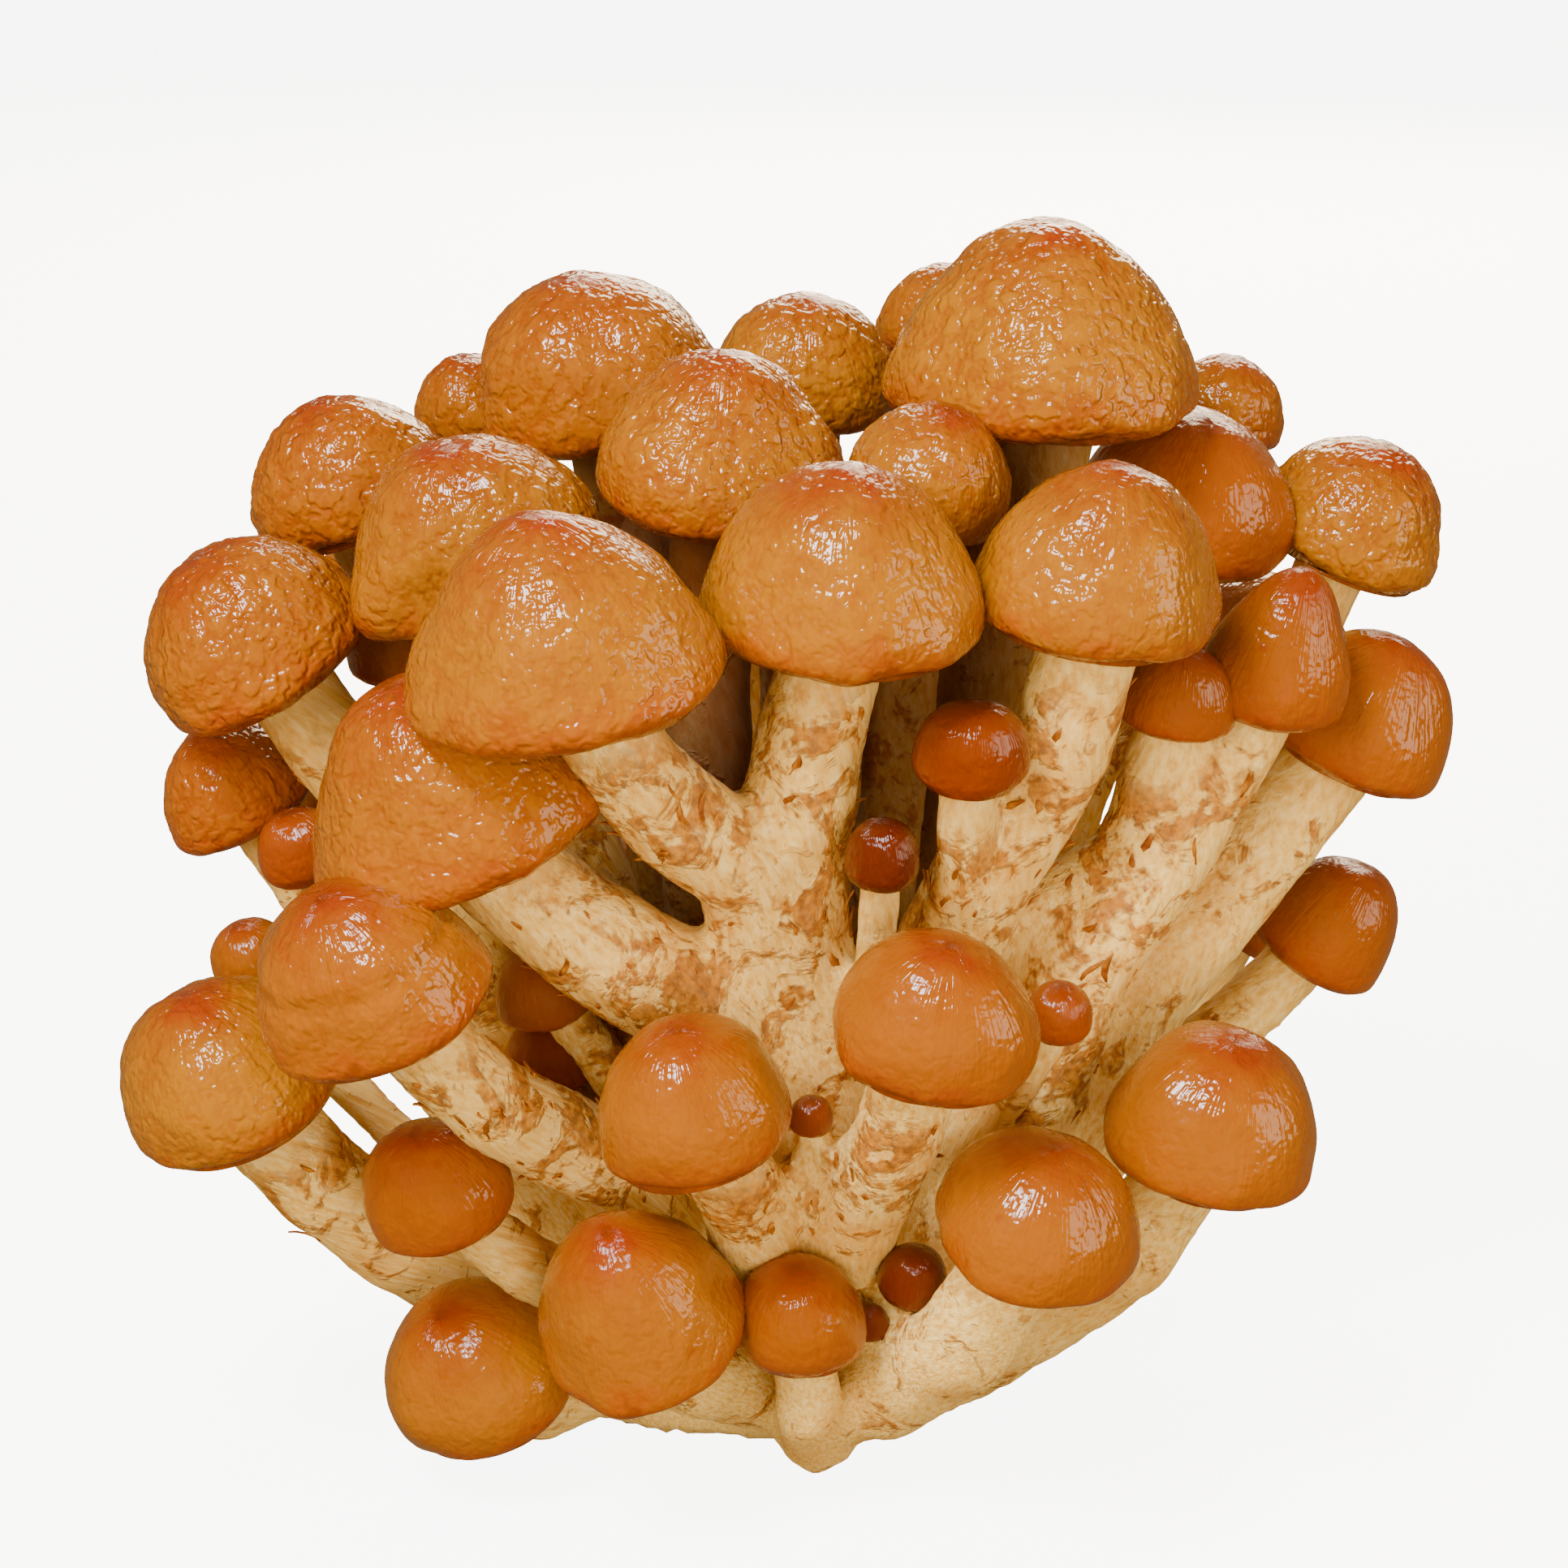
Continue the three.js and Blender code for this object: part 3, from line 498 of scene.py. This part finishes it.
form = welded_copy("stems")
stems = piece_from("stems_flesh", form, flesh)
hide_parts("stems")
remesh = stems.modifiers.new("grow_together", "REMESH")
remesh.mode = "VOXEL"
remesh.voxel_size = STEM_GRID * MM
soften = stems.modifiers.new("soften", "SMOOTH")
soften.factor = 0.5
soften.iterations = STEM_SMOOTHING
grown = bpy.data.meshes.new_from_object(stems.evaluated_get(bpy.context.evaluated_depsgraph_get()))
stems.modifiers.clear()
stems.data = grown
grown.shade_smooth()
count = len(grown.vertices)
co = np.empty(count * 3, np.float32)
grown.vertices.foreach_get("co", co)
co = co.reshape(-1, 3).astype(float)
normals = np.empty(count * 3, np.float32)
grown.vertex_normals.foreach_get("vector", normals)
normals = normals.reshape(-1, 3)
neck = np.zeros(count)
lift = np.zeros((count, 3))
for seat, up, radius in seats.values():
    away = co - np.array(seat)
    height = away @ np.array(up)
    side = np.linalg.norm(away - height[:, None] * np.array(up), axis=1)
    close = (side < radius * 0.7 * MM) & (height < 1 * MM)
    neck = np.maximum(neck, np.where(close, np.clip(1 - (-height / MM - 3) / 5, 0, 1), 0))
    top = close & (height > -3 * MM)
    lift += np.where(top, np.clip(1 + height / (3 * MM), 0, 1), 0)[:, None] * np.array(up) * 1.4 * MM
ripple = np.empty(count)
scaly_share = np.empty(count)
for i, point in enumerate(co):
    spot = Vector(point)
    ray = spot - HEART
    fan = ray.normalized() * 32
    ripple[i] = (0.30 * noise.noise(spot / (5 * MM)) + 0.16 * noise.noise(Vector((fan.x, fan.y, ray.length * 60)) * 0.6)
                 + 0.10 * noise.noise(spot / (1.3 * MM)))
    scaly_share[i] = noise.noise(spot / (14 * MM) + Vector((3, 1, 4)))
thick_front = np.clip((-co[:, 1] / MM - 8) / 10, 0, 1) * np.clip((co[:, 2] / MM - 25) / 15, 0, 1)
scaly_share = np.clip(0.3 + scaly_share + 0.8 * thick_front, 0, 1.2)
co += normals * ((STEM_FILL + ripple * (1 - 0.5 * neck)) * MM)[:, None] + lift
co[:, 2] = np.where(co[:, 2] < 0.5 * MM, 0.0, co[:, 2])
grown.vertices.foreach_set("co", co.astype(np.float32).ravel())
grown.update()
# How deep each point lies inside the cluster; the painted shade between the stems grows with it.
spread = np.hypot(co[:, 0] / 0.052, (co[:, 1] - 0.002) / 0.036) / np.clip(co[:, 2] / 0.08, 0.35, 1)
attribute(grown, "neck", "FLOAT", neck)
attribute(grown, "painted_shade_between_stems", "FLOAT", np.clip(1.5 - spread * 1.6, 0, 0.92))
attribute(grown, "scaly", "FLOAT", scaly_share)

# ---------------------------------------------------------------------------------------------
# Scales. Chips of the torn veil, dried to thin ochre skin, cling to the thick front stems by
# their lower ends and curl away at the top.
# ---------------------------------------------------------------------------------------------
CHIPS = 230
CHIP_LENGTH = (1.3, 3.0)
CHIP_WIDTH = (0.5, 1.2)
CHIP_THICKNESS = 0.14

veil = bpy.data.materials.new("dried_veil_skin")
veil.use_nodes = True
tree = veil.node_tree
matte = tree.nodes["Principled BSDF"]
place = add(tree, "ShaderNodeTexCoord").outputs["Object"]
dried = add(tree, "ShaderNodeTexNoise", Vector=place, Scale=1 / (1.2 * MM), Detail=3.0)
browned = ramp(tree, dried.outputs["Fac"], [(0.3, "7A3A04"), (0.5, "A05C0C"), (0.7, "C4841C")])
tree.links.new(browned.outputs["Color"], matte.inputs["Base Color"])
veil_bump = add(tree, "ShaderNodeBump", Height=dried.outputs["Fac"], Strength=0.4, Distance=0.2 * MM)
tree.links.new(veil_bump.outputs["Normal"], matte.inputs["Normal"])
matte.inputs["Roughness"].default_value = 0.6

chips = bmesh.new()
forward = (co[:, 1] < -8 * MM) & (normals[:, 1] < 0.35)
holds = np.flatnonzero((scaly_share > 0.62) & (neck < 0.25) & forward & (co[:, 2] > 14 * MM) & (spread > 0.8))
for i in rng.sample(list(holds), CHIPS):
    normal = Vector(normals[i]).normalized()
    grain = (Vector(co[i]) - HEART).normalized()
    grain = (grain - normal * grain.dot(normal)).normalized()
    across = grain.cross(normal)
    turn = Matrix((across, grain, normal)).transposed().to_4x4()
    length = rng.uniform(*CHIP_LENGTH) * MM
    width = rng.uniform(*CHIP_WIDTH) * MM
    curl = rng.uniform(0.1, 0.42) * length
    chip = bmesh.ops.create_grid(chips, x_segments=2, y_segments=4, size=0.5)["verts"]
    for v in chip:
        up_by = v.co.y + 0.5
        taper = (1 - 0.75 * up_by ** 2) * (0.45 + 0.55 * min(1.0, up_by * 3))
        v.co = Vector((v.co.x * width * taper + 0.12 * length * math.sin(3 * up_by + i), v.co.y * length,
                       curl * up_by ** 2 - 0.05 * MM - abs(v.co.x) * width * 0.3))
    swing = Matrix.Rotation(rng.uniform(-0.5, 0.5), 4, "Z")
    bmesh.ops.transform(chips, matrix=Matrix.Translation(co[i]) @ turn @ swing, verts=chip)
bmesh.ops.solidify(chips, geom=chips.faces[:], thickness=CHIP_THICKNESS * MM)
bmesh.ops.recalc_face_normals(chips, faces=chips.faces)
piece_from("veil_scales", chips, veil)
